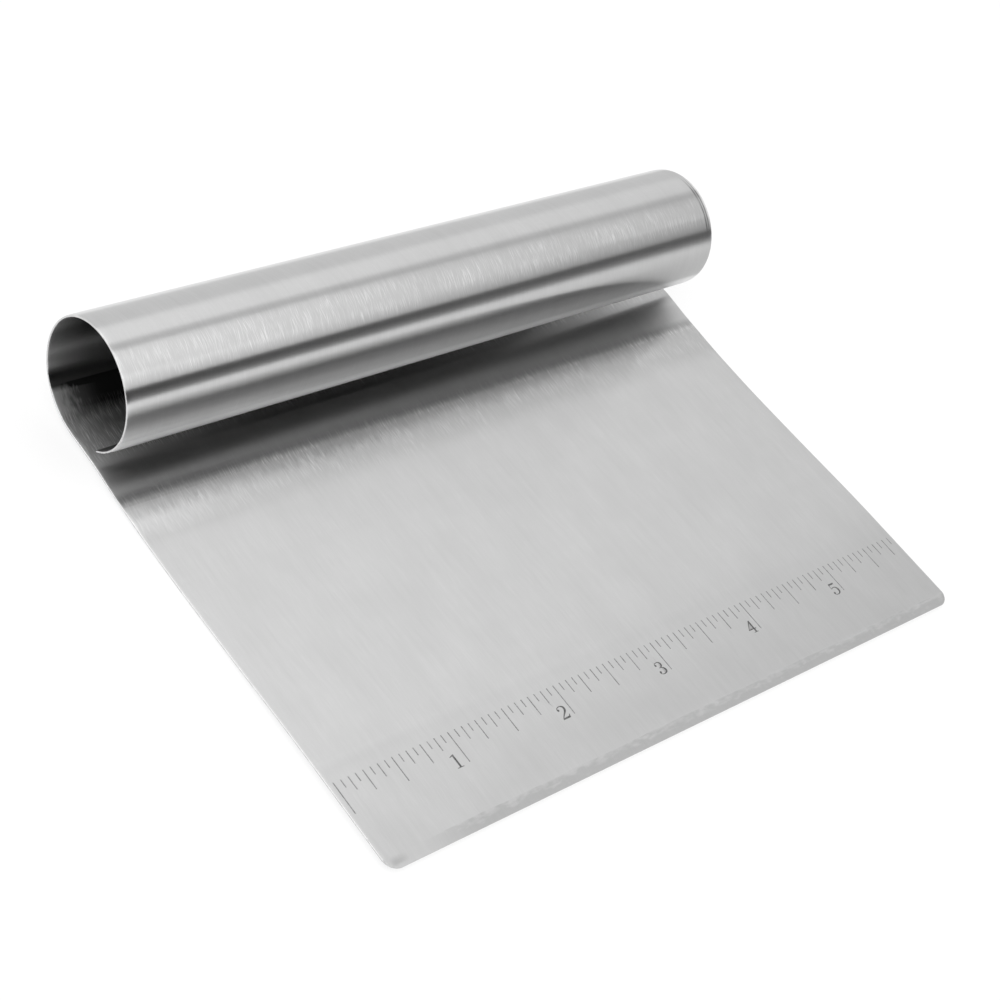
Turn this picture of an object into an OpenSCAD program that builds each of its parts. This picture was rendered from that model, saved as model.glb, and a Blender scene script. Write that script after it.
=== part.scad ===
// Dough scraper made of one stainless steel sheet.
// The front of the sheet is the flat blade, with a ground bevel at the cutting edge.
// The back of the sheet is rolled up and forward into the tube that the hand holds.
// An inch scale is etched into the upper face of the blade, near the cutting edge.
// The part lies on the back of its blade. X runs along the roll, Y from the cutting
// edge to the roll, and Z up. The origin is under the middle of the whole part.

/* [Sheet] */
// Width of the sheet, along the roll
sheet_w = 150.4; // [135:0.1:154]
// Thickness of the sheet
sheet_t = 0.5; // [0.4:0.05:0.8]
// Depth of the flat blade, from the cutting edge to under the middle of the roll
blade_l = 102.2; // [75:0.1:140]
// Radius of the two rounded corners at the cutting edge
corner_r = 2.8; // [1:0.1:8]

/* [Cutting edge] */
// Width of the bevel that is ground along the cutting edge
bevel_w = 2.4; // [1:0.1:6]
// Thickness that the bevel leaves at the cutting edge
edge_t = 0.15; // [0.1:0.01:0.3]

/* [Roll] */
// Outer radius of the top and front of the roll
roll_r = 12.65; // [10:0.05:14]
// How much larger the outer radius is at the back, where the sheet turns up
turn_extra = 0.75; // [0:0.05:2]
// Angle at which the roll's free edge ends, counted round its middle from the back
end_angle = 235; // [200:1:240]

/* [Inch scale] */
// Distance from the side of the sheet to the middle of the first line
scale_inset = 1.16; // [0.5:0.01:4]
// Distance from the cutting edge to the far ends of the lines
scale_top = 18.65; // [14:0.1:40]
// Length of a whole inch line
inch_line_l = 6.8; // [5:0.1:9]
// Length of a half inch line
half_line_l = 5.35; // [3:0.05:7]
// Length of a quarter inch line
quarter_line_l = 4.3; // [2:0.05:6]
// Length of an eighth inch line
eighth_line_l = 2.9; // [1.5:0.05:4]
// Length of a sixteenth inch line
sixteenth_line_l = 1.75; // [1:0.05:3]
// Width of the etched lines
line_w = 0.24; // [0.15:0.01:0.4]
// Depth of the etching
etch_d = 0.06; // [0.04:0.01:0.1]
// How far the black mark lies below the face of the sheet
mark_recess = 0.01; // [0.005:0.005:0.02]

/* [Numerals] */
// Height of the numerals
numeral_h = 2.9; // [2:0.1:4]
// Distance from the right side of a numeral to its inch line
numeral_gap = 1; // [0.5:0.05:2]
// How far the foot of a numeral is below the foot of its inch line
numeral_drop = 0.3; // [0:0.05:1]

/* [Hidden] */
$fn = 96;

// Length of an inch of the scale, a real measure and so not a size to choose
inch_l = 25.4;
// Lines to the inch
inch_lines_n = 16;
// Whole inches that have a numeral
numerals_n = 5;
// How far every cutting shape runs on past the face that it cuts
overrun = 1;
// Steps along each curve of a numeral
curve_steps = 10;

// The roll's section is two arcs. The larger is the back half, where the sheet turns up
// from the end of the blade, and the smaller goes on from the roll's top to the free edge.
blade_angle = -90;
top_angle = 90;
turn_r = roll_r + turn_extra;
// Size of the whole part from the cutting edge to the back
part_l = blade_l + turn_r;
// Height of the centre of the top and front arc, which meets the back arc at the top
roll_z = 2 * turn_r - roll_r;

// Rise of the bevel for each unit of its width
bevel_slope = (sheet_t - edge_t) / bevel_w;

// Places of the lines: one every sixteenth, as far as the sheet's other side allows
line_pitch = inch_l / inch_lines_n;
last_line = floor((sheet_w - 2 * scale_inset) / line_pitch);
first_line_x = -sheet_w / 2 + scale_inset;
half_n = inch_lines_n / 2;
quarter_n = inch_lines_n / 4;
eighth_n = inch_lines_n / 8;
inch_line_list = [for (k = [0:last_line]) if (k % inch_lines_n == 0) k];
half_line_list = [for (k = [0:last_line]) if (k % inch_lines_n == half_n) k];
quarter_line_list = [for (k = [0:last_line]) if (k % half_n == quarter_n) k];
eighth_line_list = [for (k = [0:last_line]) if (k % quarter_n == eighth_n) k];
sixteenth_line_list = [for (k = [0:last_line]) if (k % eighth_n == 1) k];

// Height of a cut from the floor of the etching to clear above the sheet
etch_cut_h = etch_d + overrun;
// Height of the black mark, which is seated on that floor
mark_h = etch_d - mark_recess;

// The foot of every numeral
numeral_foot = scale_top - inch_line_l - numeral_drop;

// The numerals are drawn with a broad pen. All their shares are of the numeral's height.
// A stroke is a chain of cubic curves, each point being x, y and the width of the pen.
// A dot, where the pen rests, is x, y and radius. A bar is an outline of straight sides.
one_bars_shares = [
    [[0.22, 0.02], [0.36, 0.02], [0.36, 1], [0.29, 1], [0.02, 0.9], [0.02, 0.85], [0.22, 0.89]],
    [[0.04, 0], [0.54, 0], [0.54, 0.05], [0.04, 0.05]]];
two_stroke_shares = [
    [0.075, 0.74, 0.07], [0.07, 0.9, 0.06], [0.19, 0.97, 0.05],
    [0.33, 0.97, 0.06], [0.5, 0.97, 0.07], [0.61, 0.88, 0.16],
    [0.61, 0.73, 0.16], [0.61, 0.5, 0.16], [0.22, 0.33, 0.07],
    [0.08, 0.07, 0.06]];
two_dot_share = [0.13, 0.74, 0.085];
two_bars_shares = [
    [[0.02, 0], [0.63, 0], [0.7, 0.27], [0.66, 0.27], [0.58, 0.14], [0.05, 0.12]]];
three_upper_dot_share = [0.13, 0.78, 0.08];
three_upper_stroke_shares = [
    [0.08, 0.78, 0.06], [0.08, 0.92, 0.05], [0.2, 0.97, 0.05],
    [0.33, 0.97, 0.06], [0.47, 0.97, 0.06], [0.57, 0.9, 0.13],
    [0.57, 0.76, 0.13], [0.57, 0.62, 0.13], [0.45, 0.54, 0.05],
    [0.26, 0.53, 0.05]];
three_lower_dot_share = [0.13, 0.23, 0.085];
three_lower_stroke_shares = [
    [0.3, 0.53, 0.05], [0.48, 0.53, 0.05], [0.63, 0.45, 0.15],
    [0.63, 0.27, 0.16], [0.63, 0.1, 0.15], [0.47, 0.03, 0.06],
    [0.32, 0.03, 0.06], [0.18, 0.03, 0.05], [0.07, 0.1, 0.05],
    [0.07, 0.22, 0.06]];
four_bars_shares = [
    [[0.44, 0.02], [0.58, 0.02], [0.58, 1], [0.49, 1], [0.44, 0.85]],
    [[0.49, 1], [0.02, 0.33], [0.07, 0.29], [0.52, 0.93]],
    [[0.02, 0.27], [0.7, 0.27], [0.7, 0.33], [0.02, 0.33]],
    [[0.31, 0], [0.7, 0], [0.7, 0.05], [0.31, 0.05]]];
five_stroke_shares = [
    [0.15, 0.55, 0.05], [0.22, 0.62, 0.05], [0.3, 0.64, 0.05],
    [0.38, 0.64, 0.06], [0.54, 0.64, 0.06], [0.64, 0.52, 0.15],
    [0.64, 0.34, 0.16], [0.64, 0.14, 0.15], [0.52, 0.03, 0.06],
    [0.34, 0.03, 0.06], [0.2, 0.03, 0.05], [0.08, 0.08, 0.05],
    [0.08, 0.2, 0.06]];
five_dot_share = [0.13, 0.21, 0.085];
five_bars_shares = [
    [[0.12, 0.87], [0.61, 0.87], [0.64, 1], [0.12, 1]],
    [[0.12, 0.54], [0.17, 0.54], [0.17, 0.9], [0.12, 0.9]]];
// Width of a numeral, from its left side to the side that faces the inch line
numeral_w_share = 0.7;

// Point at the share u of a cubic curve with four control points
function curve_point(p, u) =
    p[0] * pow(1 - u, 3) + 3 * p[1] * u * pow(1 - u, 2)
    + 3 * p[2] * pow(u, 2) * (1 - u) + p[3] * pow(u, 3);

// Points along a chain of cubic curves, which share their end points
function chain_points(p) = concat(
    [for (first = [0:3:len(p) - 4])
        for (step = [0:curve_steps - 1])
            curve_point([for (k = [0:3]) p[first + k]], step / curve_steps)],
    [p[len(p) - 1]]);

// Direction square to the pen's path at its point k
function pen_side(p, k) =
    let (a = p[max(k - 1, 0)], b = p[min(k + 1, len(p) - 1)])
    let (run = [b[0] - a[0], b[1] - a[1]])
    [-run[1], run[0]] / norm(run);

// Outline of a pen stroke: out along one side of its path and back along the other
function stroke_outline(p) = concat(
    [for (k = [0:len(p) - 1]) [p[k][0], p[k][1]] + pen_side(p, k) * p[k][2] / 2],
    [for (k = [len(p) - 1:-1:0]) [p[k][0], p[k][1]] - pen_side(p, k) * p[k][2] / 2]);

// Every piece is drawn from the cutting edge, and this moves it back by half the part
module from_cutting_edge() {
    translate([0, -part_l / 2, 0])
        children();
}

// Lays what stands along Z across the part, from the left side of the sheet to the right.
// What was X and Y before is then Y and Z.
module along_width() {
    translate([-sheet_w / 2, 0, 0])
        rotate([90, 0, 90])
            children();
}

// The flat of the blade, before its edge is ground and its corners are rounded
module flat_blank() {
    along_width()
        cube([blade_l, sheet_t, sheet_w]);
}

// A stretch of the sheet bent to the outer radius r, over the end of the blade at the
// height given, between two angles that are counted from the back
module bent_blank(height, r, from_angle, to_angle) {
    along_width()
        translate([blade_l, height, 0])
            rotate_extrude(angle = to_angle - from_angle, start = from_angle)
                translate([r - sheet_t, 0])
                    square([sheet_t, sheet_w]);
}

// What grinding takes off the upper face along the cutting edge
module bevel_cut() {
    along_width()
        linear_extrude(height = sheet_w)
            polygon([
                [-overrun, edge_t - overrun * bevel_slope],
                [bevel_w + overrun, sheet_t + overrun * bevel_slope],
                [-overrun, sheet_t + overrun * bevel_slope]]);
}

// What rounding takes off the corner at the side of the sheet given by side, -1 or 1
module corner_cut(side) {
    translate([side * (sheet_w / 2 - corner_r), corner_r, -overrun])
        linear_extrude(height = sheet_t + 2 * overrun)
            difference() {
                translate([(side - 1) * (corner_r + overrun) / 2, -corner_r - overrun])
                    square(corner_r + overrun);
                circle(r = corner_r);
            }
}

// Prisms over the lines whose numbers are in the list
module lines(list, line_l, height) {
    for (k = list)
        translate([first_line_x + k * line_pitch - line_w / 2, scale_top - line_l, 0])
            cube([line_w, line_l, height]);
}

// Prisms over pen strokes, dots and bars
module penned(strokes, dots, bars, height) {
    for (p = strokes)
        linear_extrude(height = height)
            polygon(numeral_h * stroke_outline(chain_points(p)));
    for (d = dots)
        translate([d[0], d[1], 0] * numeral_h)
            cylinder(r = d[2] * numeral_h, h = height);
    for (b = bars)
        linear_extrude(height = height)
            polygon(numeral_h * b);
}

// The numeral n, upright and with its foot at the left at zero
module numeral(n, height) {
    if (n == 1)
        penned([], [], one_bars_shares, height);
    if (n == 2)
        penned([two_stroke_shares], [two_dot_share], two_bars_shares, height);
    if (n == 3)
        penned([three_upper_stroke_shares, three_lower_stroke_shares],
               [three_upper_dot_share, three_lower_dot_share], [], height);
    if (n == 4)
        penned([], [], four_bars_shares, height);
    if (n == 5)
        penned([five_stroke_shares], [five_dot_share], five_bars_shares, height);
}

// The numeral n in its place, to the left of the line for n inches
module numeral_in_place(n, height) {
    translate([first_line_x + n * inch_l - numeral_gap - numeral_w_share * numeral_h, numeral_foot, 0])
        numeral(n, height);
}

// Lifts what it is given to the floor of the etching
module on_etch_floor() {
    translate([0, 0, sheet_t - etch_d])
        children();
}

// A black mark of the scale, in its place in the part
module black_mark() {
    color([0.2, 0.2, 0.2])
        from_cutting_edge()
            on_etch_floor()
                children();
}

// The one sheet: blade, turn at the back and roll, with the scale etched in
module steel_sheet() {
    color("silver")
        from_cutting_edge()
            difference() {
                union() {
                    flat_blank();
                    bent_blank(turn_r, turn_r, blade_angle, top_angle);
                    bent_blank(roll_z, roll_r, top_angle, end_angle);
                }
                bevel_cut();
                corner_cut(-1);
                corner_cut(1);
                on_etch_floor() {
                    lines(inch_line_list, inch_line_l, etch_cut_h);
                    lines(half_line_list, half_line_l, etch_cut_h);
                    lines(quarter_line_list, quarter_line_l, etch_cut_h);
                    lines(eighth_line_list, eighth_line_l, etch_cut_h);
                    lines(sixteenth_line_list, sixteenth_line_l, etch_cut_h);
                    for (n = [1:numerals_n])
                        numeral_in_place(n, etch_cut_h);
                }
            }
}

// The black marks of the scale, one module for each length of line
module inch_lines() {
    black_mark() lines(inch_line_list, inch_line_l, mark_h);
}

module half_inch_lines() {
    black_mark() lines(half_line_list, half_line_l, mark_h);
}

module quarter_inch_lines() {
    black_mark() lines(quarter_line_list, quarter_line_l, mark_h);
}

module eighth_inch_lines() {
    black_mark() lines(eighth_line_list, eighth_line_l, mark_h);
}

module sixteenth_inch_lines() {
    black_mark() lines(sixteenth_line_list, sixteenth_line_l, mark_h);
}

// The black mark of the numeral n, each a node of its own
module numeral_mark(n) {
    black_mark() numeral_in_place(n, mark_h);
}

steel_sheet();
inch_lines();
half_inch_lines();
quarter_inch_lines();
eighth_inch_lines();
sixteenth_inch_lines();
numeral_mark(1);  // numeral_1
numeral_mark(2);  // numeral_2
numeral_mark(3);  // numeral_3
numeral_mark(4);  // numeral_4
numeral_mark(5);  // numeral_5
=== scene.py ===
# %% [markdown]
# # A dough scraper from one sheet of steel
# The real object is one sheet of brushed stainless steel. Its front is a flat blade with
# a ground edge, its back is rolled into a tube for the hand, and an inch scale is etched
# into the face near the cutting edge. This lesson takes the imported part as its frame,
# models a finer sheet around the same sizes, and gives sheet and marks their finish.

# %% Load the frame
import math

import bpy
from mathutils import Matrix, Vector, noise


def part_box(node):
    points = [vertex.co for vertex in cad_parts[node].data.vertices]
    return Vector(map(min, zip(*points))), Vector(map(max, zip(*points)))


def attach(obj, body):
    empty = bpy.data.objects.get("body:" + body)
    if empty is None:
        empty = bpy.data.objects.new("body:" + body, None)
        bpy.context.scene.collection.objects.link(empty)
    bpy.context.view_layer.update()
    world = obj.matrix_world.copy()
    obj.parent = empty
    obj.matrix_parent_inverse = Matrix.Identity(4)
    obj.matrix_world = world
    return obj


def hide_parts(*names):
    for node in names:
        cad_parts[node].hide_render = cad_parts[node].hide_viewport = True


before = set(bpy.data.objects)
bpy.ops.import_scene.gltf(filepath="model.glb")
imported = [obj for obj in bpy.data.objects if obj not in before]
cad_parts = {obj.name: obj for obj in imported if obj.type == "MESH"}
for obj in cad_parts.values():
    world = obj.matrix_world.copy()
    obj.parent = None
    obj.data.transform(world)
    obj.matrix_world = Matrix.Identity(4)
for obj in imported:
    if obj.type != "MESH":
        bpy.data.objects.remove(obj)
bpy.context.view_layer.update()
marks = {name: node for name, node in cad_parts.items() if name != "steel_sheet"}
print("The frame has", len(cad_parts), "nodes, and", len(marks), "of them are marks of the scale")

# %% [markdown]
# ## Sizes
# Everything is in metres. The width, depth and height of the sheet are read from the
# frame, so the model follows the frame. What the frame's box can't tell, such as the
# thickness of the sheet, is named here once as a real size.

# %% Sizes of the sheet
MM = 0.001
sheet_low, sheet_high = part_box("steel_sheet")
sheet_w = sheet_high.x - sheet_low.x
sheet_t = 0.5 * MM
turn_r = sheet_high.z / 2
edge_y = sheet_low.y
turn_y = sheet_high.y - turn_r
blade_l = turn_y - edge_y
roll_r = 12.65 * MM
roll_z = sheet_high.z - roll_r
end_angle = math.radians(235)
corner_r = 2.8 * MM
bevel_w = 2.4 * MM
edge_t = 0.15 * MM
print("Blade", round(sheet_w / MM, 2), "x", round(blade_l / MM, 2), "mm")
print("Turn", round(2 * turn_r / MM, 2), "mm across, roll", round(2 * roll_r / MM, 2), "mm across")

# %% [markdown]
# ## Helpers for working by hand
# An operator acts on what is selected, so each step below first selects what a hand
# would click. These helpers do that by the place or direction of a face or an edge.

# %% Select by place
def only(piece):
    """Select this object alone and make it active, in object mode."""
    if bpy.context.mode != "OBJECT":
        bpy.ops.object.mode_set(mode="OBJECT")
    bpy.ops.object.select_all(action="DESELECT")
    piece.select_set(True)
    bpy.context.view_layer.objects.active = piece


def start_edit(piece, mode):
    """Go into edit mode with nothing selected."""
    only(piece)
    bpy.ops.object.mode_set(mode="EDIT")
    bpy.ops.mesh.select_mode(type=mode)
    bpy.ops.mesh.select_all(action="DESELECT")


def stop_edit():
    """Go back to object mode."""
    bpy.ops.object.mode_set(mode="OBJECT")


def pick(piece, mode, test):
    """Select the faces, edges or vertices that pass the test, and stay in edit mode."""
    start_edit(piece, mode)
    bpy.ops.object.mode_set(mode="OBJECT")
    mesh = piece.data
    picked = 0
    if mode == "FACE":
        for face in mesh.polygons:
            face.select = test(face.center, face.normal)
            picked += face.select
    if mode == "EDGE":
        for edge in mesh.edges:
            a, b = (mesh.vertices[k].co for k in edge.vertices)
            edge.select = test(a, b)
            picked += edge.select
    if mode == "VERT":
        for vertex in mesh.vertices:
            vertex.select = test(vertex.co, vertex.normal)
            picked += vertex.select
    bpy.ops.object.mode_set(mode="EDIT")
    return picked


def near(a, b, reach=0.01 * MM):
    """Whether two places along an axis are the same."""
    return abs(a - b) < reach


print("Faces, edges and points can be picked by place")

# %% [markdown]
# ## The blade
# On the real object the blade is the flat front of the sheet. It could be a plane that
# is thickened at the end, but the ground bevel takes metal off one face only. So the
# sheet is solid from the start: a block of the blade's size.

# %% Blank of the blade
bpy.ops.object.select_all(action="DESELECT")
bpy.ops.mesh.primitive_cube_add(size=1)
sheet = bpy.context.object
sheet.name = "brushed_sheet"
bpy.ops.object.mode_set(mode="EDIT")
bpy.ops.transform.resize(value=(sheet_w, blade_l, sheet_t))
bpy.ops.transform.translate(value=(0, edge_y + blade_l / 2, sheet_t / 2))
stop_edit()
print("Blank:", len(sheet.data.polygons), "faces")

# %% [markdown]
# ## Corners and ground edge
# The two front corners are punched round, which is a bevel of the two upright edges.
# The cutting edge is ground on its upper face. A bisect along the grinding plane takes
# that metal off and fills the cut, just as the stone does.

# %% Round the corners and grind the edge
corner_segments = 14
cut_threshold = 0.001 * MM
grind_rise = sheet_t - edge_t


def upright_front(a, b):
    """Whether an edge stands upright at the front of the blade."""
    return near(a.x, b.x) and near(a.y, b.y) and near(a.y, edge_y)


corners = pick(sheet, "EDGE", upright_front)
bpy.ops.mesh.bevel(offset=corner_r, offset_type="OFFSET", segments=corner_segments, affect="EDGES")

bpy.ops.mesh.select_all(action="SELECT")
bpy.ops.mesh.bisect(
    plane_co=(0, edge_y, edge_t),
    plane_no=Vector((0, -grind_rise, bevel_w)).normalized(),
    use_fill=True,
    clear_outer=True,
    threshold=cut_threshold,
)
stop_edit()
print("Rounded", corners, "corners, ground edge", round(edge_t / MM, 2), "mm thick")

# %% [markdown]
# The stone is held by hand, so the upper border of the bevel wavers a little. The blade
# is cut across every two millimetres, and each point of the border then moves a few
# hundredths of a millimetre up or down the blade. Smooth noise gives the moves, a slow
# one and a quick one added up, so the border looks ground and not drawn.

# %% Let the border of the bevel waver
stretch = 2 * MM
waver = 0.22 * MM
slow_wave = 9 * MM
quick_wave = 2.6 * MM
quick_share = 0.6
slow_row = 3.7
quick_row = 8.1


def blade_stretches():
    """Places across the blade at which it is cut."""
    count = int(sheet_w / 2 // stretch)
    return [k * stretch for k in range(-count, count + 1)]


start_edit(sheet, "FACE")
for x in blade_stretches():
    bpy.ops.mesh.select_all(action="SELECT")
    bpy.ops.mesh.bisect(plane_co=(x, 0, 0), plane_no=(1, 0, 0), threshold=cut_threshold)
stop_edit()

border = [v for v in sheet.data.vertices if near(v.co.y, edge_y + bevel_w) and near(v.co.z, sheet_t)]
for vertex in border:
    if abs(vertex.co.x) < sheet_w / 2 - corner_r:
        slow = noise.noise(Vector((vertex.co.x / slow_wave, slow_row, 0)))
        quick = noise.noise(Vector((vertex.co.x / quick_wave, quick_row, 0)))
        vertex.co.y += waver * (slow + quick_share * quick)
print("Points on the border:", len(border))

# %% [markdown]
# ## Turn and roll
# The rest of the sheet is bent on a mandrel. Spin does the same: the end face of the
# blade is swept round the middle of the turn, half a circle, and from the top it goes on
# round the slightly smaller middle of the roll, until the free edge is over the blade.

# %% Spin the end face round the two middles
degrees_a_step = 2.5
straight_back = 0.9
turn_angle = math.pi
roll_angle = end_angle - math.pi / 2

pick(sheet, "FACE", lambda centre, normal: normal.y > straight_back)
for angle, middle_z in ((turn_angle, turn_r), (roll_angle, roll_z)):
    bpy.ops.mesh.spin(
        steps=round(math.degrees(angle) / degrees_a_step),
        angle=angle,
        center=(0, turn_y, middle_z),
        axis=(-1, 0, 0),
    )
bpy.ops.mesh.select_all(action="SELECT")
bpy.ops.mesh.remove_doubles(threshold=cut_threshold)
bpy.ops.mesh.normals_make_consistent(inside=False)
stop_edit()
print("Rolled sheet:", len(sheet.data.vertices), "points,", len(sheet.data.polygons), "faces")

# %% [markdown]
# ## Where a point lies on the sheet
# The grain of the brushing follows the sheet, up the blade and round the roll. So do the
# rolled-off rims. Both need to know how far a point is along the sheet from the cutting
# edge, and how deep it lies under the outer face, which is the underside of the blade.

# %% Distance along the sheet and depth in it
top_l = blade_l + turn_r * turn_angle
sheet_l = top_l + roll_r * roll_angle


def on_blade(point):
    """Whether a point is on the flat blade, in front of the turn and under the roll."""
    return point.y < turn_y and point.z < 2 * sheet_t


def along_and_depth(point):
    """Distance from the cutting edge along the sheet, and depth under the outer face."""
    if on_blade(point):
        return point.y - edge_y, point.z
    back = point.y - turn_y
    if back >= 0:
        angle = math.atan2(point.z - turn_r, back)
        reach = math.hypot(back, point.z - turn_r)
        return blade_l + turn_r * (angle + math.pi / 2), turn_r - reach
    angle = math.atan2(point.z - roll_z, back) % (2 * math.pi)
    reach = math.hypot(back, point.z - roll_z)
    return top_l + roll_r * (angle - math.pi / 2), roll_r - reach


def inward(point):
    """Direction from the outer face into the sheet."""
    if on_blade(point):
        return Vector((0, 0, 1))
    back = point.y - turn_y
    middle_z = turn_r if back >= 0 else roll_z
    return Vector((0, -back, middle_z - point.z)).normalized()


print("The sheet is", round(sheet_l / MM, 1), "mm long before it is rolled")

# %% [markdown]
# ## Rims that roll off
# The blank is punched out, and then tumbled to take off the burr. That leaves both side
# rims rolled off towards the edge, more on the outer face than on the upper one. A bevel
# can't be wider than it is deep, so rows of points are cut in beside each rim, and each
# row sinks along an ellipse.

# %% Cut rows beside the rims and sink them
outer_rim_w = 1.15 * MM
upper_rim_w = 0.5 * MM
outer_rim_drop = 0.14 * MM
upper_rim_drop = 0.09 * MM
row_shares = (1, 0.78, 0.55, 0.35, 0.18, 0.07)


def ellipse_drop(distance, width, drop):
    """How far the face has sunk at a distance from the rim."""
    share = max(0, 1 - distance / width)
    return drop * (1 - math.sqrt(1 - share * share))


start_edit(sheet, "FACE")
for side in (-1, 1):
    for share in row_shares:
        bpy.ops.mesh.select_all(action="SELECT")
        x = side * (sheet_w / 2 - share * outer_rim_w)
        bpy.ops.mesh.bisect(plane_co=(x, 0, 0), plane_no=(1, 0, 0), threshold=cut_threshold)
stop_edit()

for vertex in sheet.data.vertices:
    distance = sheet_w / 2 - abs(vertex.co.x)
    if distance < outer_rim_w:
        along, depth = along_and_depth(vertex.co)
        local_t = min(sheet_t, edge_t + along * grind_rise / bevel_w)
        if depth < local_t / 2:
            drop = ellipse_drop(distance, outer_rim_w, outer_rim_drop)
        else:
            drop = -ellipse_drop(distance, upper_rim_w, upper_rim_drop)
        vertex.co += inward(vertex.co) * drop * local_t / sheet_t
sheet.data.update()
print("Rows beside each rim:", len(row_shares))

# %% [markdown]
# ## Edges that catch the light
# No edge of a real sheet is perfectly sharp. A Bevel modifier rounds every edge that
# turns more than its angle limit, so that each rim shows as the thin bright line that
# metal has there.

# %% Round the edges
edge_round = 0.045 * MM
edge_segments = 2
sharp_angle = math.radians(38)


def apply_modifier(piece, kind, **settings):
    """Add a modifier, set it and apply it."""
    only(piece)
    modifier = piece.modifiers.new(kind.lower(), kind)
    for key, value in settings.items():
        setattr(modifier, key, value)
    bpy.ops.object.modifier_apply(modifier=modifier.name)


apply_modifier(
    sheet,
    "BEVEL",
    width=edge_round,
    segments=edge_segments,
    limit_method="ANGLE",
    angle_limit=sharp_angle,
)
print("With round edges:", len(sheet.data.polygons), "faces")

# %% [markdown]
# ## The etched scale
# Acid has eaten the scale into the blade, and black fills the hollows. The black marks
# are nodes of the frame and stay as they are, a hair under the face. The hollows round
# them are cut by the marks' own shapes: copies are merged, their tops are raised through
# the face, and a Boolean takes them out of the sheet.

# %% Etch the hollows
bpy.ops.object.select_all(action="DESELECT")
for node in marks.values():
    node.select_set(True)
bpy.context.view_layer.objects.active = node
bpy.ops.object.duplicate()
bpy.ops.object.join()
cutter = bpy.context.object
cutter.parent = None
mark_top = max(vertex.co.z for vertex in cutter.data.vertices)
start_edit(cutter, "VERT")
bpy.ops.mesh.select_all(action="SELECT")
bpy.ops.mesh.remove_doubles(threshold=cut_threshold / 2)
bpy.ops.mesh.normals_make_consistent(inside=False)
pick(cutter, "VERT", lambda place, normal: near(place.z, mark_top))
bpy.ops.transform.translate(value=(0, 0, sheet_t / 2))
stop_edit()

faces_before = len(sheet.data.polygons)
apply_modifier(sheet, "BOOLEAN", object=cutter, operation="DIFFERENCE", solver="EXACT")
bpy.data.objects.remove(cutter)
print("The hollows added", len(sheet.data.polygons) - faces_before, "faces")

# %% [markdown]
# ## Grain coordinates and finishes of the faces
# The finish needs to know which way the grain runs. A UV map gives it: U runs along the
# roll and V along the sheet, both in metres, so that a pattern has its real size. In the
# same pass each face gets the number of its finish: brushed, burnished or ground, or
# the one of the tube's inside. That begins on the blade, shortly before the roll hangs
# over it, so the blade is cut across there first. The direction of a face tells the rims
# and the bevel: its share along an axis is 1 for a face that looks straight that way, and
# 0 for one that lies along it.

# %% Lay the grain map and sort the faces
BRUSHED, BURNISHED, GROUND, INSIDE = range(4)
inside_from = blade_l - 18 * MM
over_blade = 4 * sheet_t
side_facing = 0.7
rim_facing = 0.5
ground_l = 1.2 * bevel_w
ground_facing_least = 0.05
ground_facing_most = 0.995

pick(sheet, "FACE", lambda centre, normal: centre.z < over_blade)
bpy.ops.mesh.bisect(
    plane_co=(0, edge_y + inside_from, 0),
    plane_no=(0, 1, 0),
    threshold=cut_threshold,
)
stop_edit()

grain_map = sheet.data.uv_layers.active or sheet.data.uv_layers.new()
grain_map.name = "grain"
for face in sheet.data.polygons:
    on_side = abs(face.normal.x) > side_facing
    for loop in face.loop_indices:
        place = sheet.data.vertices[sheet.data.loops[loop].vertex_index].co
        along, depth = along_and_depth(place)
        grain_map.data[loop].uv = (place.x + on_side * depth, along)
    along, depth = along_and_depth(face.center)
    if abs(face.normal.x) > rim_facing or along < 0 or depth < 0:
        face.material_index = BURNISHED
    elif along < ground_l and ground_facing_least < face.normal.z < ground_facing_most:
        face.material_index = GROUND
    elif along > inside_from and depth > sheet_t / 2:
        face.material_index = INSIDE
print("Grain map over", round(sheet_w / MM, 1), "x", round(sheet_l / MM, 1), "mm")

# %% [markdown]
# ## The bow of the blade
# Bending has left the blade a little bowed. Behind the scale it sags by less than a
# millimetre, and towards the turn it rises again, with a slight kink where the bending
# bar has pressed. This can hardly be seen as a shape, but it moves the roll's mirror
# image on the blade by a few millimetres. The slope is given at a few stations, and the
# lift is added up from it in small steps.

# %% Work out the bow
bow_stations = (
    (20 * MM, 0),
    (40 * MM, -1.9),
    (58 * MM, -1.2),
    (72 * MM, 0.8),
    (81 * MM, 2.9),
    (86 * MM, 3.1),
    (91 * MM, 6.0),
    (96 * MM, 1.2),
)
bow_from = bow_stations[0][0]
bow_step = 0.25 * MM
fade_l = 16 * MM


def smooth_share(value, first, last):
    """0 before the first limit, 1 behind the last, and smooth between them."""
    share = min(1, max(0, (value - first) / (last - first)))
    return share * share * (3 - 2 * share)


def slope_at(along):
    """Slope of the blade in degrees at a distance from the cutting edge."""
    slope = 0
    for (first, first_slope), (last, last_slope) in zip(bow_stations, bow_stations[1:]):
        slope += (last_slope - first_slope) * smooth_share(along, first, last)
    return slope


lifts = [0.0]
for k in range(math.ceil((blade_l - bow_from) / bow_step)):
    lifts.append(lifts[-1] + bow_step * math.tan(math.radians(slope_at(bow_from + k * bow_step))))
sag = -min(lifts)


def bow(along):
    """How far the blade is lifted there. The turn takes the lift back."""
    place = (min(along, blade_l) - bow_from) / bow_step
    if place <= 0:
        return 0
    below = min(int(place), len(lifts) - 2)
    lift = lifts[below] + (lifts[below + 1] - lifts[below]) * (place - below)
    return lift * (1 - smooth_share(along, blade_l, blade_l + fade_l))


print("The blade sags", round(sag / MM, 2), "mm and meets the turn", round(bow(blade_l) / MM, 2), "mm up")

# %% [markdown]
# A bow needs points to bend at, and so far the faces of the blade are strips that run
# from front to back. The roll is hidden, the blade is cut across a little more than once
# every two millimetres, and then each point of the sheet is lifted by the bow.

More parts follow.
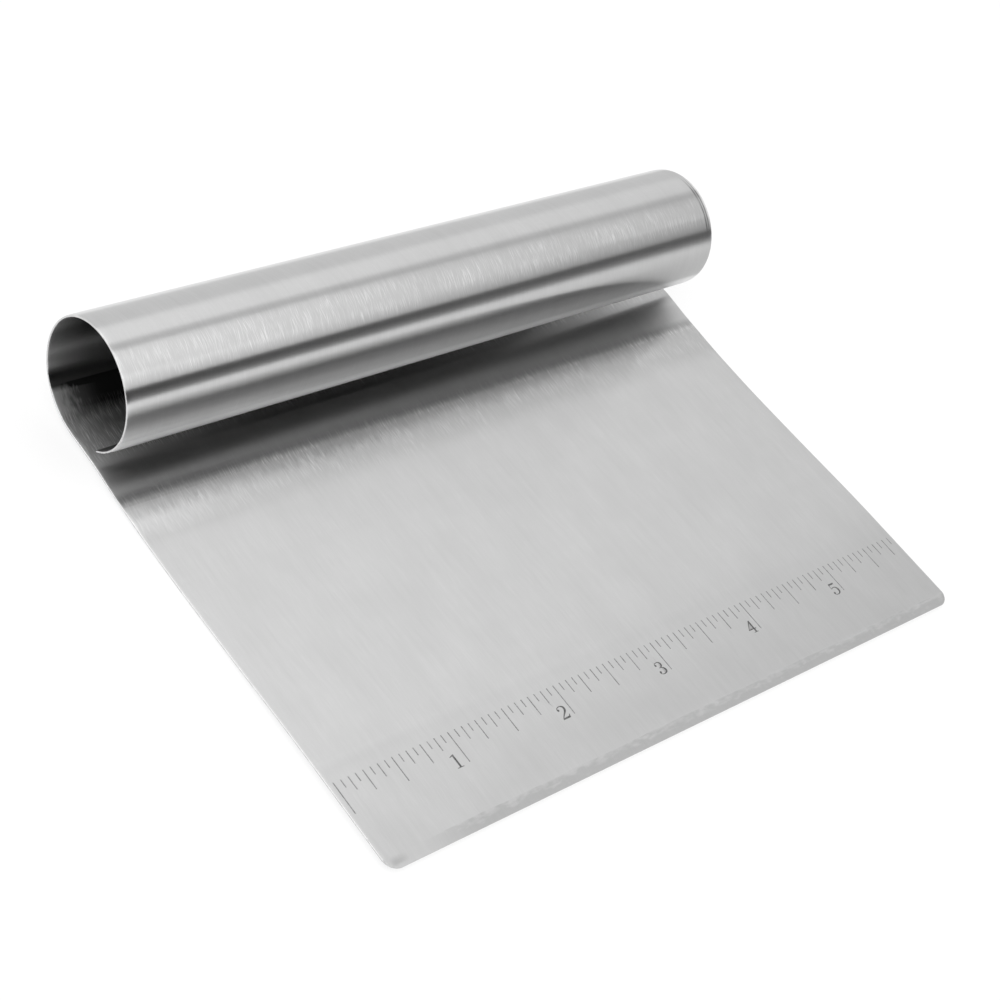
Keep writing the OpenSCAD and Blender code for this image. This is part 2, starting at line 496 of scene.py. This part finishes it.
# %% Cut the blade across and lift its points
bow_stretch = 1.25 * MM

pick(sheet, "FACE", lambda centre, normal: centre.z > over_blade)
bpy.ops.mesh.hide()
for k in range(int((blade_l - bow_from) / bow_stretch)):
    across = edge_y + bow_from + k * bow_stretch
    bpy.ops.mesh.select_all(action="SELECT")
    bpy.ops.mesh.bisect(plane_co=(0, across, 0), plane_no=(0, 1, 0), threshold=cut_threshold)
bpy.ops.mesh.reveal(select=False)
stop_edit()

for vertex in sheet.data.vertices:
    along, depth = along_and_depth(vertex.co)
    vertex.co.z += bow(along)
sheet.data.update()
print("Points in the bowed sheet:", len(sheet.data.vertices))

# %% [markdown]
# ## Smooth shading
# Faces that meet at a small angle are shaded as one. The flat faces keep straight normals
# through a Weighted Normal modifier, which lets the large faces decide.

# %% Smooth the sheet
smooth_angle = math.radians(30)
face_weight = 100
only(sheet)
bpy.ops.object.shade_smooth_by_angle(angle=smooth_angle)
apply_modifier(sheet, "WEIGHTED_NORMAL", mode="FACE_AREA", weight=face_weight, keep_sharp=True)
print("Faces in the sheet:", len(sheet.data.polygons))

# %% [markdown]
# ## Helpers for finishes
# Each finish is a small tree of nodes. These helpers add a node, set its values and link
# it, so that a finish reads from top to bottom.

# %% Add and link nodes
def new_finish(name):
    """An empty material, its tree and its Principled shader."""
    finish = bpy.data.materials.new(name)
    finish.use_nodes = True
    tree = finish.node_tree
    return finish, tree, tree.nodes["Principled BSDF"]


def add(tree, kind, links=(), values=(), **settings):
    """A node of this kind. Links go to its inputs, and values are set on them."""
    new = tree.nodes.new(kind)
    for key, value in settings.items():
        setattr(new, key, value)
    for socket, value in dict(values).items():
        new.inputs[socket].default_value = value
    for socket, source in dict(links).items():
        tree.links.new(source, new.inputs[socket])
    return new


def combine(tree, operation, *sources):
    """Math nodes that take in one source after the other, sockets as well as numbers."""
    result = sources[0]
    for source in sources[1:]:
        pair = dict(enumerate((result, source)))
        linked = {k: v for k, v in pair.items() if not isinstance(v, (int, float))}
        fixed = {k: v for k, v in pair.items() if isinstance(v, (int, float))}
        result = add(tree, "ShaderNodeMath", linked, fixed, operation=operation).outputs[0]
    return result


def paint(tree, shader, tone):
    """Give the shader a grey base colour."""
    colour = add(tree, "ShaderNodeCombineColor", {"Red": tone, "Green": tone, "Blue": tone})
    tree.links.new(colour.outputs[0], shader.inputs["Base Color"])


print("Nodes can be added and linked")

# %% [markdown]
# The patterns are all noises. A picture of brushed steel would be quicker, but it repeats
# and blurs close up. A noise does neither. It is drawn out along the grain, and what
# comes out of it is then stretched to the limits that the pattern should have.

# %% Patterns
streak_roughness = 0.55
usual_low = 0.3
usual_high = 0.7


def streaks(tree, place, fine_mm, long_mm, detail=2, shift=0):
    """Noise drawn out along the sheet: each streak is so wide and so long. A shift moves
    it, so that two patterns don't fall on each other."""
    stretched = add(
        tree, "ShaderNodeMapping", {"Vector": place},
        {"Scale": (1 / (fine_mm * MM), 1 / (long_mm * MM), 1), "Location": (shift, shift, shift)},
    )
    grain = add(
        tree, "ShaderNodeTexNoise", {"Vector": stretched.outputs[0]},
        {"Scale": 1, "Detail": detail, "Roughness": streak_roughness},
    )
    return grain.outputs["Fac"]


def spread(tree, source, low, high, to_low, to_high):
    """What lies from low to high, stretched to new limits and cut off at them."""
    ranged = add(
        tree, "ShaderNodeMapRange", {"Value": source},
        {"From Min": low, "From Max": high, "To Min": to_low, "To Max": to_high},
    )
    return ranged.outputs[0]


def swing(tree, pattern, least, most):
    """A noise that swings between two limits."""
    return spread(tree, pattern, usual_low, usual_high, least, most)


print("A pattern takes its noise from", usual_low, "to", usual_high)

# %% [markdown]
# ## Brushed stainless steel
# A belt has drawn fine scratches up the blade and round the roll. They blur reflections
# across the grain and keep them crisp along it. That is what anisotropy does, with its
# tangent taken from the U of the grain map.
#
# On top of the grain lie short scratches that can be seen one by one, a little off its
# direction. They are painted lighter than the steel round them, as a painted glint. They
# are thick over the front of the roll and on the blade before the turn, where the rolls of
# the bending machine have rubbed, and faint elsewhere. A zone tells where that is: it
# counts along the sheet, and fades at both ends.

# %% Scratches and zones
scratch_low = 0.55
scratch_high = 0.74


def zone(tree, along, stops):
    """1 between the two middle stops, fading to 0 at the outer ones."""
    first, full, last_full, last = stops
    rise = spread(tree, along, first, full, 0, 1)
    fall = spread(tree, along, last_full, last, 1, 0)
    return combine(tree, "MULTIPLY", rise, fall)


def slanted_scratches(tree, place, slant, shift):
    """1 on short soft scratches at this slant to the grain, and 0 between them."""
    turned = add(
        tree, "ShaderNodeMapping", {"Vector": place},
        {"Rotation": (0, 0, math.radians(slant))},
    )
    grain = streaks(tree, turned.outputs[0], fine_mm=0.16, long_mm=4.5, detail=1, shift=shift)
    return spread(tree, grain, scratch_low, scratch_high, 0, 1)


def short_scratches(tree, place, clouds, rubbed, faint):
    """Scratches at two slants, thick where the sheet is rubbed and thinner in clouds."""
    thick = combine(
        tree, "MULTIPLY",
        spread(tree, rubbed, 0, 1, faint, 1),
        spread(tree, clouds, low=0.35, high=0.6, to_low=0.5, to_high=1),
    )
    scratched = combine(
        tree, "MAXIMUM",
        slanted_scratches(tree, place, slant=7, shift=5),
        slanted_scratches(tree, place, slant=-5, shift=9),
    )
    return combine(tree, "MULTIPLY", scratched, thick)


print("A short scratch begins where its noise is over", scratch_low)

# %% [markdown]
# The borders of the stripes that the roll mirrors are frayed in the rubbed zones, because
# the grain isn't quite flat there. A normal map does that: it tips the surface forth and
# back along the sheet by about a degree. The grey of the steel changes along the sheet
# too, as painted light and shade, so it comes from a ramp over the distance from the
# cutting edge.

# %% Frayed reflections and tones
lean_most = math.tan(math.radians(1.2))
lean_elsewhere = 0.1
flat_normal = 0.5


def frayed_normal(tree, place, rubbed):
    """A normal that tips forth and back along the sheet, most where it is rubbed."""
    leans = streaks(tree, place, fine_mm=0.35, long_mm=3.5, detail=1, shift=11)
    lean = swing(tree, leans, -lean_most / 2, lean_most / 2)
    lean = combine(tree, "MULTIPLY", lean, spread(tree, rubbed, 0, 1, lean_elsewhere, 1))
    lean = combine(tree, "ADD", lean, flat_normal)
    leaning = add(tree, "ShaderNodeCombineColor", {"Green": lean}, {"Red": flat_normal, "Blue": 1})
    leant = add(tree, "ShaderNodeNormalMap", {"Color": leaning.outputs[0]}, uv_map="grain")
    return leant.outputs[0]


def tone_along(tree, along, stations):
    """A grey that changes along the sheet, from station to station."""
    share = spread(tree, along, 0, sheet_l, 0, 1)
    ramp = add(tree, "ShaderNodeValToRGB", {"Fac": share})
    ramp.color_ramp.interpolation = "EASE"
    stops = ramp.color_ramp.elements
    stops.remove(stops[1])
    for k, (distance, grey) in enumerate(stations):
        stop = stops[0] if k == 0 else stops.new(distance / sheet_l)
        stop.position = distance / sheet_l
        stop.color = (grey, grey, grey, 1)
    return ramp.outputs["Color"]


print("The grain tips by", round(math.degrees(math.atan(lean_most)), 1), "degrees at most")

# %% [markdown]
# The brushed finish puts these together. It is made by a function, because the outer
# face, the ground edge and the inside of the tube are all brushed, each with tones and
# scratches of its own. What can't be told by the distance along the sheet alone, such as
# a patch of painted light near a rim, each of them adds through a function of its own, its
# lift.

# %% Brushed steel
steel_grey = 0.52
grain_dullness = 0.28
dullness_change = 0.005
tone_least = 0.02
tone_most = 0.97


def brushed_steel(name, stations, dullness, rubbed_zones, scratch_glint, faint=0.12, lift=None):
    """Brushed finish with a grey along the sheet that can carry painted light and shade, and
    scratches whose painted glint makes them so much lighter. A lift paints light or shade on
    places, from their distance across and along the sheet."""
    finish, tree, shader = new_finish(name)
    place = add(tree, "ShaderNodeUVMap", uv_map="grain").outputs[0]
    split = add(tree, "ShaderNodeSeparateXYZ", {0: place})
    across, along = split.outputs["X"], split.outputs["Y"]
    rubbed = combine(
        tree, "MAXIMUM",
        *(combine(tree, "MULTIPLY", zone(tree, along, stops), share) for stops, share in rubbed_zones),
    )
    clouds = streaks(tree, place, fine_mm=9, long_mm=13, shift=3)
    scratches = short_scratches(tree, place, clouds, rubbed, faint)
    fine = streaks(tree, place, fine_mm=0.14, long_mm=9, detail=1)
    broad = streaks(tree, place, fine_mm=1.2, long_mm=25, shift=7)
    # The scratches' lightness is a painted glint; the fine, broad and cloudy changes are the steel's own
    # tone.
    change = combine(
        tree, "ADD",
        combine(tree, "MULTIPLY", scratches, scratch_glint),
        swing(tree, fine, least=0.98, most=1.02),
        swing(tree, broad, least=-0.015, most=0.015),
        swing(tree, clouds, least=-0.02, most=0.02),
    )
    # The grey along the sheet holds the painted light and shade of the outer face and of the inside.
    tone = combine(tree, "MULTIPLY", tone_along(tree, along, stations), change)
    if lift:
        tone = combine(tree, "ADD", tone, lift(tree, place, across, along))
    tone = combine(tree, "MAXIMUM", tone, tone_least)
    paint(tree, shader, combine(tree, "MINIMUM", tone, tone_most))

    dull = swing(tree, clouds, dullness - dullness_change, dullness + dullness_change)
    tree.links.new(dull, shader.inputs["Roughness"])
    tree.links.new(frayed_normal(tree, place, rubbed), shader.inputs["Normal"])
    tangent = add(tree, "ShaderNodeTangent", direction_type="UV_MAP", uv_map="grain")
    tree.links.new(tangent.outputs[0], shader.inputs["Tangent"])
    shader.inputs["Anisotropic"].default_value = 1
    shader.inputs["Metallic"].default_value = 1
    return finish


print("The steel has grey", steel_grey, "and dullness", grain_dullness)

# %% [markdown]
# ## Places on the sheet
# The rubbed zones and the patches of a lift are counted along the sheet. On the blade and
# in the turn they are named by millimetres from the end of the flat blade, on the roll by
# an angle. Across the sheet they are counted from the left and the right rim.

# %% Name places on the sheet
right_rim = sheet_w / 2
left_rim = -right_rim


def blade_place(distance):
    """A place so many millimetres behind the end of the flat blade, or before it if negative."""
    return blade_l + distance * MM


def roll_place(angle):
    """A place on the roll. The angle counts in degrees from its back, over its top."""
    return top_l + roll_r * math.radians(angle - 90)


def patch(tree, across, along, stops, first_x, last_x, first_lift, last_lift):
    """A lift of painted light or shade in a zone along the sheet, that changes between two places across
    it.
    """
    change = spread(tree, across, first_x, last_x, first_lift, last_lift)
    return combine(tree, "MULTIPLY", change, zone(tree, along, stops))


rubbed_roll = [roll_place(angle) for angle in (104, 114, 132, 140)]
rubbed_blade = [blade_place(distance) for distance in (-27, -21, -17, -15)]
rubbed_outside = [(rubbed_roll, 1), (rubbed_blade, 1)]
rubbed_ends = [round(place / MM, 1) for place in (rubbed_roll[0], rubbed_roll[-1])]
print("The roll is rubbed between", rubbed_ends, "mm from the cutting edge")

# %% [markdown]
# ## Finish of the outer face
# Painted light makes the steel lighter low on the front of the roll and on the blade
# before the gap, most at the left rim, and painted shade makes the roll darker on its very
# underside. The guide of the bending machine's rolls has pressed two dark lines beside the
# right rim, and the strip outside of them is painted bright, as a painted highlight along
# the rim. These marks run along the sheet, so they could be cut into it as shapes, but
# they have no depth that a camera would see. They are drawn from the distance to a rim
# instead.

# %% Painted light and pressed lines of the outer face
guided_rim = [roll_place(angle) for angle in (74, 100, 138, 143)]
lower_roll = [roll_place(angle) for angle in (184, 193, 208, 214)]
before_gap = [blade_place(distance) for distance in (-26, -22, -19, -17)]
line_places = ((1.5 * MM, 0.34 * MM), (0.85 * MM, 0.24 * MM))


def thin_line(tree, across, centre, half_width):
    """1 on a thin line along the sheet, fading to 0 beside it."""
    beside = combine(tree, "SUBTRACT", across, centre)
    beside = combine(tree, "ABSOLUTE", beside, 0)
    return spread(tree, beside, 0, half_width, 1, 0)


def pressed_lines(tree, place, across, along):
    """Two dark lines beside the right rim, worn away in streaks."""
    lines = (thin_line(tree, across, right_rim - inset, half_width) for inset, half_width in line_places)
    wear = streaks(tree, place, fine_mm=1, long_mm=5, shift=17)
    worn = spread(tree, wear, low=0.3, high=0.6, to_low=-0.18, to_high=-0.38)
    return combine(
        tree, "MULTIPLY", combine(tree, "MAXIMUM", *lines), worn, zone(tree, along, guided_rim),
    )


def outer_lines_and_painted_light(tree, place, across, along):
    """Pressed lines and a painted highlight at the right rim, and two patches of painted light from the
    left one.
    """
    # Painted light from the left rim, low on the roll and on the blade before the gap.
    painted_low_light = patch(
        tree, across, along, lower_roll,
        first_x=left_rim, last_x=20 * MM, first_lift=0.3, last_lift=0,
    )
    painted_blade_light = patch(
        tree, across, along, before_gap,
        first_x=left_rim, last_x=left_rim + 45 * MM, first_lift=0.17, last_lift=0,
    )
    # A painted highlight along the right rim.
    painted_rim_highlight = patch(
        tree, across, along, guided_rim,
        first_x=right_rim - 0.7 * MM, last_x=right_rim - 0.3 * MM, first_lift=0, last_lift=0.3,
    )
    lines = pressed_lines(tree, place, across, along)
    return combine(tree, "ADD", lines, painted_low_light, painted_blade_light, painted_rim_highlight)


print("Lines are pressed", [inset / MM for inset, half_width in line_places], "mm from the right rim")

# %% [markdown]
# The tones were found by holding the render beside the photograph: each stripe that the
# roll and the blade mirror was set against the real one, and the sheet was painted lighter
# or darker where the studio alone didn't explain it. So these tones are painted light and
# shade: lighter on the back of the turn and low on the front of the roll, darker on the
# blade before the gap and on the roll's underside. Each pair is a place, on the blade or
# by an angle on the roll, and a share of the steel's grey.

# %% Finish of the outer face
# Painted light and shade along the blade and the turn, and round the roll.
blade_light_shares = ((-28, 1), (-23, 0.88), (-18, 0.88), (0, 1), (8, 1.35), (33, 1.35), (34.8, 1))
roll_light_shares = ((190, 1), (198, 1.6), (208, 1.6), (217, 0.5))
outer_painted_tones = [(blade_place(distance), share * steel_grey) for distance, share in blade_light_shares]
outer_painted_tones += [(roll_place(angle), share * steel_grey) for angle, share in roll_light_shares]

brushed = brushed_steel(
    "brushed_steel", outer_painted_tones, grain_dullness, rubbed_outside, scratch_glint=0.4, lift=outer_lines_and_painted_light,
)
print("Made", brushed.name, "with", len(outer_painted_tones), "tones")

# %% [markdown]
# ## Finish of the ground edge
# The stone has left the bevel duller and a little darker than the face, and not evenly:
# its upper border is lighter in patches. Painted light makes the left corner lighter, and
# a small spot of painted shade darkens it.

# %% Ground edge
ground_share = 0.85
ground_dullness = 0.45
corner_across = [left_rim + distance * MM for distance in (0.9, 1.8, 3.0, 5.0)]
corner_along = [distance * MM for distance in (0.5, 1.0, 1.4, 2.4)]


def ground_patches_and_painted_light(tree, place, across, along):
    """Lighter patches at the upper border, painted light on the left corner, and a spot of painted shade
    in it.
    """
    patches = streaks(tree, place, fine_mm=2.4, long_mm=0.9, shift=13)
    height = combine(tree, "ADD", along, swing(tree, patches, least=-1.2 * MM, most=1.2 * MM))
    upper = spread(tree, height, low=1.2 * MM, high=2.9 * MM, to_low=0, to_high=0.08)
    # Painted light on the left corner.
    corner = spread(
        tree, across, low=left_rim + 8 * MM, high=left_rim + 19 * MM, to_low=0.1, to_high=0,
    )
    # Painted shade in a small spot in the corner.
    spot = combine(tree, "MULTIPLY", zone(tree, across, corner_across), zone(tree, along, corner_along))
    spot_shade = combine(tree, "MULTIPLY", spot, -0.1)
    return combine(tree, "ADD", combine(tree, "MAXIMUM", upper, corner), spot_shade)


ground = brushed_steel(
    "ground_steel", [(0, ground_share * steel_grey)], ground_dullness, rubbed_outside,
    scratch_glint=0.2, lift=ground_patches_and_painted_light,
)
print("Made", ground.name)

# %% [markdown]
# ## Finish of the tube's inside
# Inside the tube the sheet mirrors little but itself. It is streaky in the turn. At both
# mouths painted light makes it lighter, and painted shade keeps the hollow of the turn
# dark, with a frayed border.

# %% Painted light and shade of the tube's inside
# Zones of painted light at the mouths, and of painted shade in the hollow of the turn.
mouth_light_zone = [blade_place(distance) for distance in (-16, -8, 9.4, 10.6)]
back_light_zone = [blade_place(distance) for distance in (13, 14.4, 30, 34)]
right_mouth_light_zone = [blade_place(distance) for distance in (-18, -15, -10.5, -8.5)]
hollow_shade_zone = [blade_place(distance) for distance in (2.5, 5.5, 10, 11)]


def inside_painted_light_and_shade(tree, place, across, along):
    """Painted light at the mouths of the tube, and painted shade in the hollow of the turn."""
    # Painted light at the left mouth.
    left = spread(tree, across, low=left_rim, high=left_rim + 13 * MM, to_low=1, to_high=0)
    left = combine(tree, "MULTIPLY", left, left, 0.3)
    left_zones = combine(
        tree, "MAXIMUM", zone(tree, along, mouth_light_zone), zone(tree, along, back_light_zone),
    )
    left = combine(tree, "MULTIPLY", left, left_zones)
    # Painted light at the right mouth.
    right = patch(
        tree, across, along, right_mouth_light_zone,
        first_x=right_rim - 14 * MM, last_x=right_rim, first_lift=0, last_lift=0.2,
    )
    # Painted shade in the hollow of the turn, with a frayed border.
    frays = streaks(tree, place, fine_mm=0.8, long_mm=3, shift=19)
    frayed = combine(tree, "ADD", across, swing(tree, frays, least=-2 * MM, most=2 * MM))
    hollow = patch(
        tree, frayed, along, hollow_shade_zone,
        first_x=left_rim + 1.5 * MM, last_x=left_rim + 5 * MM, first_lift=0, last_lift=-0.24,
    )
    return combine(tree, "ADD", left, right, hollow)


# Where the left mouth has its painted light, in mm from the cutting edge.
mouth_light_ends = [round(place / MM, 1) for place in (mouth_light_zone[0], mouth_light_zone[-1])]
print("The left mouth is scuffed between", mouth_light_ends, "mm from the cutting edge")

# %% [markdown]
# The inside's tones follow the photograph too, as far as the left mouth shows them, and
# are painted light and shade: a band of the turn is painted nearly black as painted shade,
# and the back above it is painted pale again. Each pair is a place behind or before the
# end of the flat blade, and a grey as it stands.

# %% Finish of the tube's inside
first_share = 0.88
inside_painted_greys = (
    # Painted light and shade inside the tube.
    (-16.3, 0.27), (-14.5, 0.35), (-12, 0.36), (-9.5, 0.42), (-7, 0.50),
    (-3, 0.40), (2, 0.25), (9.6, 0.24), (10.6, 0.07), (12.2, 0.10),
    (13.6, 0.17), (19, 0.20), (22, 0.12), (25, 0.26), (32, 0.24),
)
inside_painted_tones = [(inside_from, first_share * steel_grey)]
inside_painted_tones += [(blade_place(distance), grey) for distance, grey in inside_painted_greys]
rubbed_turn = [blade_place(distance) for distance in (-8, -4, 3, 7)]
rubbed_inside = [(rubbed_blade, 0.4), (rubbed_turn, 1)]

inside = brushed_steel(
    "inside_steel", inside_painted_tones, grain_dullness, rubbed_inside,
    scratch_glint=2.0, faint=0.03, lift=inside_painted_light_and_shade,
)
print("Made", inside.name, "with", len(inside_painted_tones), "tones")

# %% [markdown]
# ## Burnished rims
# The rims have lost their brushing in the tumbler. They are smooth and a little brighter
# than the faces, with faint marks left along them. A plain noise is enough for these,
# because a rim is only a few tenths of a millimetre wide.

# %% Burnished steel
rubs_a_metre = 900


def burnished_steel():
    """Smooth metal with faint marks."""
    finish, tree, shader = new_finish("burnished_steel")
    place = add(tree, "ShaderNodeTexCoord").outputs["Object"]
    rubs = add(tree, "ShaderNodeTexNoise", {"Vector": place}, {"Scale": rubs_a_metre, "Detail": 3})
    paint(tree, shader, swing(tree, rubs.outputs["Fac"], least=0.58, most=0.7))
    dull = swing(tree, rubs.outputs["Fac"], least=0.22, most=0.34)
    tree.links.new(dull, shader.inputs["Roughness"])
    shader.inputs["Metallic"].default_value = 1
    return finish


burnished = burnished_steel()
for finish in (brushed, burnished, ground, inside):
    sheet.data.materials.append(finish)
finishes = [face.material_index for face in sheet.data.polygons]
print("Faces with each finish:", [finishes.count(k) for k in (BRUSHED, BURNISHED, GROUND, INSIDE)])

# %% [markdown]
# ## Black of the etching
# The etched marks are dark grey rather than black, and speckled, because the floor of an
# etched hollow is rough and the black holds better in some spots than in others. The thin
# lines have taken less of it than the wider strokes of the numerals.

# %% Etched black
specks_a_metre = 5000
patches_a_metre = 500
speck_height = 0.005 * MM
speck_strength = 0.5
etched_dullness = 0.6


def etched(name, darkest, palest):
    """A rough dark grey with fine specks and larger patches."""
    finish, tree, shader = new_finish(name)
    place = add(tree, "ShaderNodeTexCoord").outputs["Object"]
    specks = add(tree, "ShaderNodeTexNoise", {"Vector": place}, {"Scale": specks_a_metre, "Detail": 2})
    patches = add(tree, "ShaderNodeTexNoise", {"Vector": place}, {"Scale": patches_a_metre, "Detail": 1})
    tone = combine(
        tree, "ADD",
        spread(tree, specks.outputs["Fac"], low=0.35, high=0.65, to_low=darkest, to_high=palest),
        swing(tree, patches.outputs["Fac"], least=0, most=(palest - darkest) / 2),
    )
    paint(tree, shader, tone)
    shader.inputs["Roughness"].default_value = etched_dullness
    bump = add(
        tree, "ShaderNodeBump", {"Height": specks.outputs["Fac"]},
        {"Strength": speck_strength, "Distance": speck_height},
    )
    tree.links.new(bump.outputs[0], shader.inputs["Normal"])
    return finish


numeral_black = etched("numeral_black", darkest=0.02, palest=0.10)
line_grey = etched("line_grey", darkest=0.10, palest=0.24)
for name, node in marks.items():
    node.data.materials.clear()
    node.data.materials.append(numeral_black if "numeral" in name else line_grey)
print("Marks with an etched finish:", len(marks))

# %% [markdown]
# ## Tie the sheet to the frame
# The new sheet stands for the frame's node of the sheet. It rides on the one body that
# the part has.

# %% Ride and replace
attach(sheet, "root")
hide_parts("steel_sheet")
print("Triangles in the sheet:", sum(len(p.vertices) - 2 for p in sheet.data.polygons))

# %% [markdown]
# ## Floor and backdrop
# The photograph shows the scraper on pure white. A world of plain white gives the
# backdrop and a soft light from all sides. The floor is white paper that keeps the
# object's shadow. Paper alone would come out grey, so for the camera, and for what the
# metal mirrors, most of it glows white. It doesn't glow for the light that falls on the
# object, which stays as it is.

# %% White floor and white world
floor_size = 12
glow_share = 0.8
white = (1, 1, 1, 1)
paper_white = (0.95, 0.95, 0.95, 1)
paper_dullness = 0.9


def seen_or_mirrored(tree):
    """1 for rays from the camera, and for those that metal or glass sends on."""
    path = add(tree, "ShaderNodeLightPath")
    return combine(
        tree, "MAXIMUM",
        path.outputs["Is Glossy Ray"],
        path.outputs["Is Transmission Ray"],
        path.outputs["Is Camera Ray"],
    )


world = bpy.data.worlds.new("studio")
bpy.context.scene.world = world
world.use_nodes = True
world.node_tree.nodes["Background"].inputs["Color"].default_value = white
world.node_tree.nodes["Background"].inputs["Strength"].default_value = 1

bpy.ops.object.select_all(action="DESELECT")
bpy.ops.mesh.primitive_plane_add(size=floor_size, location=(0, 0, -sag))
floor = bpy.context.object
floor.name = "floor"
paper, tree, shader = new_finish("white_paper")
shader.inputs["Base Color"].default_value = paper_white
shader.inputs["Roughness"].default_value = paper_dullness
glow = add(tree, "ShaderNodeEmission", values={"Color": white, "Strength": 1})
glowing = combine(tree, "MULTIPLY", seen_or_mirrored(tree), glow_share)
both = add(tree, "ShaderNodeMixShader", {0: glowing, 1: shader.outputs[0], 2: glow.outputs[0]})
tree.links.new(both.outputs[0], tree.nodes["Material Output"].inputs[0])
floor.data.materials.append(paper)
print("Floor of", floor_size, "m")

# %% [markdown]
# ## Soft light and cards
# Polished metal shows its surroundings, so the studio decides its stripes. A photographer
# would hang one softbox far behind the table and one close over it, put white walls round
# them, and leave a dark gap in front, where the camera stands. All of these are long in
# the direction of the roll, so they mirror as straight stripes along it.
#
# How far away a thing is matters as well. The roll shows a far card much alike from end
# to end. A near one that is brighter on the left gives the roll a bright left end and a
# darker right one, as in the photograph. So there are three distances.

# %% Places round the roll
far_reach = 2.4
near_reach = 0.35
front_reach = 0.2


def studio_place(angle, reach, x=0):
    """A place round the roll's line: the angle counts from the back, over the top."""
    turn = math.radians(angle)
    return Vector((x, turn_y + reach * math.cos(turn), turn_r + reach * math.sin(turn)))


def facing_roll(angle):
    """Turn of a flat thing there, so that it faces the roll."""
    return (math.radians(angle - 90), 0, 0)


def span(first_angle, last_angle, reach):
    """Width of a flat thing that is seen from the roll between two angles."""
    return 2 * reach * math.tan(math.radians(last_angle - first_angle) / 2)


print("Things stand", front_reach, near_reach, "or", far_reach, "m from the roll")

# %% [markdown]
# A softbox is an area lamp. It lights the sheet and the floor, and the metal mirrors it
# as well. Its power is worked out from its size, so that a brightness of 1 is white.

# %% Softboxes
def softbox(name, first_angle, last_angle, reach, first_x, last_x, brightness):
    """A long soft lamp that adds so much white to what the metal mirrors."""
    data = bpy.data.lights.new(name, "AREA")
    data.shape = "RECTANGLE"
    data.size = last_x - first_x
    data.size_y = span(first_angle, last_angle, reach)
    data.energy = brightness * math.pi * data.size * data.size_y
    lamp = bpy.data.objects.new(name, data)
    bpy.context.scene.collection.objects.link(lamp)
    middle = (first_angle + last_angle) / 2
    lamp.location = studio_place(middle, reach, (first_x + last_x) / 2)
    lamp.rotation_euler = facing_roll(middle)
    lamp.visible_camera = False
    print(name, "is", round(data.size, 2), "x", round(data.size_y, 2), "m")


softbox("softbox_back", 41, 74, far_reach, first_x=-1.2, last_x=1.8, brightness=0.42)
softbox("softbox_top", 87.5, 128, near_reach, first_x=-0.5, last_x=0.19, brightness=1.0)

# %% [markdown]
# A card only has to colour a stripe on the metal. It could be lit by lamps of its own, but
# those would light the table too. So each card glows by itself, and is hidden from the
# camera, from dull surfaces and from shadows.

# %% Cards
card_length = 12
card_rim = 0.5


def card(name, first_angle, last_angle, reach, left, right, last_share=1):
    """A long card that shows only in what the metal mirrors. Its brightness goes from left
    to right between its middle and a place as far to the right as the card is away, and
    fades to a share of it towards its last angle."""
    width = span(first_angle, last_angle, reach)
    middle = (first_angle + last_angle) / 2
    bpy.ops.object.select_all(action="DESELECT")
    bpy.ops.mesh.primitive_plane_add(size=1)
    panel = bpy.context.object
    panel.name = name
    panel.scale = (card_length, width, 1)
    panel.location = studio_place(middle, reach)
    panel.rotation_euler = facing_roll(middle)
    cloth, tree, shader = new_finish(name)
    place = add(tree, "ShaderNodeTexCoord").outputs["Object"]
    split = add(tree, "ShaderNodeSeparateXYZ", {0: place})
    along_roll = spread(tree, split.outputs["X"], 0, reach / card_length, left, right)
    round_roll = spread(tree, split.outputs["Y"], card_rim, -card_rim, 1, last_share)
    brightness = combine(tree, "MULTIPLY", along_roll, round_roll)
    glow = add(tree, "ShaderNodeEmission", {"Strength": brightness})
    tree.links.new(glow.outputs[0], tree.nodes["Material Output"].inputs[0])
    panel.data.materials.append(cloth)
    panel.visible_camera = False
    panel.visible_diffuse = False
    panel.visible_shadow = False
    print(name, "is", round(width, 2), "m wide")


card("wall_back", 0, 41, far_reach, left=1.03, right=1.03)
card("wall_over_back", 41, 74, far_reach, left=1.6, right=0.88)
card("ceiling", 74, 87.5, far_reach, left=1.05, right=0.5)
card("wall_over_front", 87.5, 128, near_reach, left=1.4, right=0.76)
card("wall_front", 128, 150.5, front_reach, left=1.78, right=0.6, last_share=0.66)
card("dark_gap", 150.5, 163, front_reach, left=0.04, right=0.12)
card("dark_far", 150.5, 172, far_reach, left=0.04, right=0.10)
card("wall_low_front", 172, 184, near_reach, left=1.6, right=0.83)

# %% [markdown]
# ## Camera
# The camera stands where the photographer stood. Its place, the point it looks at and
# its tilt were worked out from the scale, whose lines have a known spacing, and from the
# edges of the sheet.

# %% Camera
camera_place = Vector((-264.4, -164.4, 284.2)) * MM
camera_target = Vector((-3.87, 1.34, 0.5)) * MM
camera_tilt = math.radians(26.91)
lens = 77.54
sensor_w = 36
nearest_seen = 10 * MM

camera_data = bpy.data.cameras.new("camera")
camera_data.lens = lens
camera_data.sensor_width = sensor_w
camera_data.clip_start = nearest_seen
camera = bpy.data.objects.new("camera", camera_data)
bpy.context.scene.collection.objects.link(camera)
camera.location = camera_place
look = (camera_target - camera_place).to_track_quat("-Z", "Y")
camera.rotation_euler = (look.to_matrix() @ Matrix.Rotation(camera_tilt, 3, "Z")).to_euler()
bpy.context.scene.camera = camera
bpy.context.scene.view_settings.view_transform = "Standard"
print("Camera at", [round(c, 3) for c in camera.location])
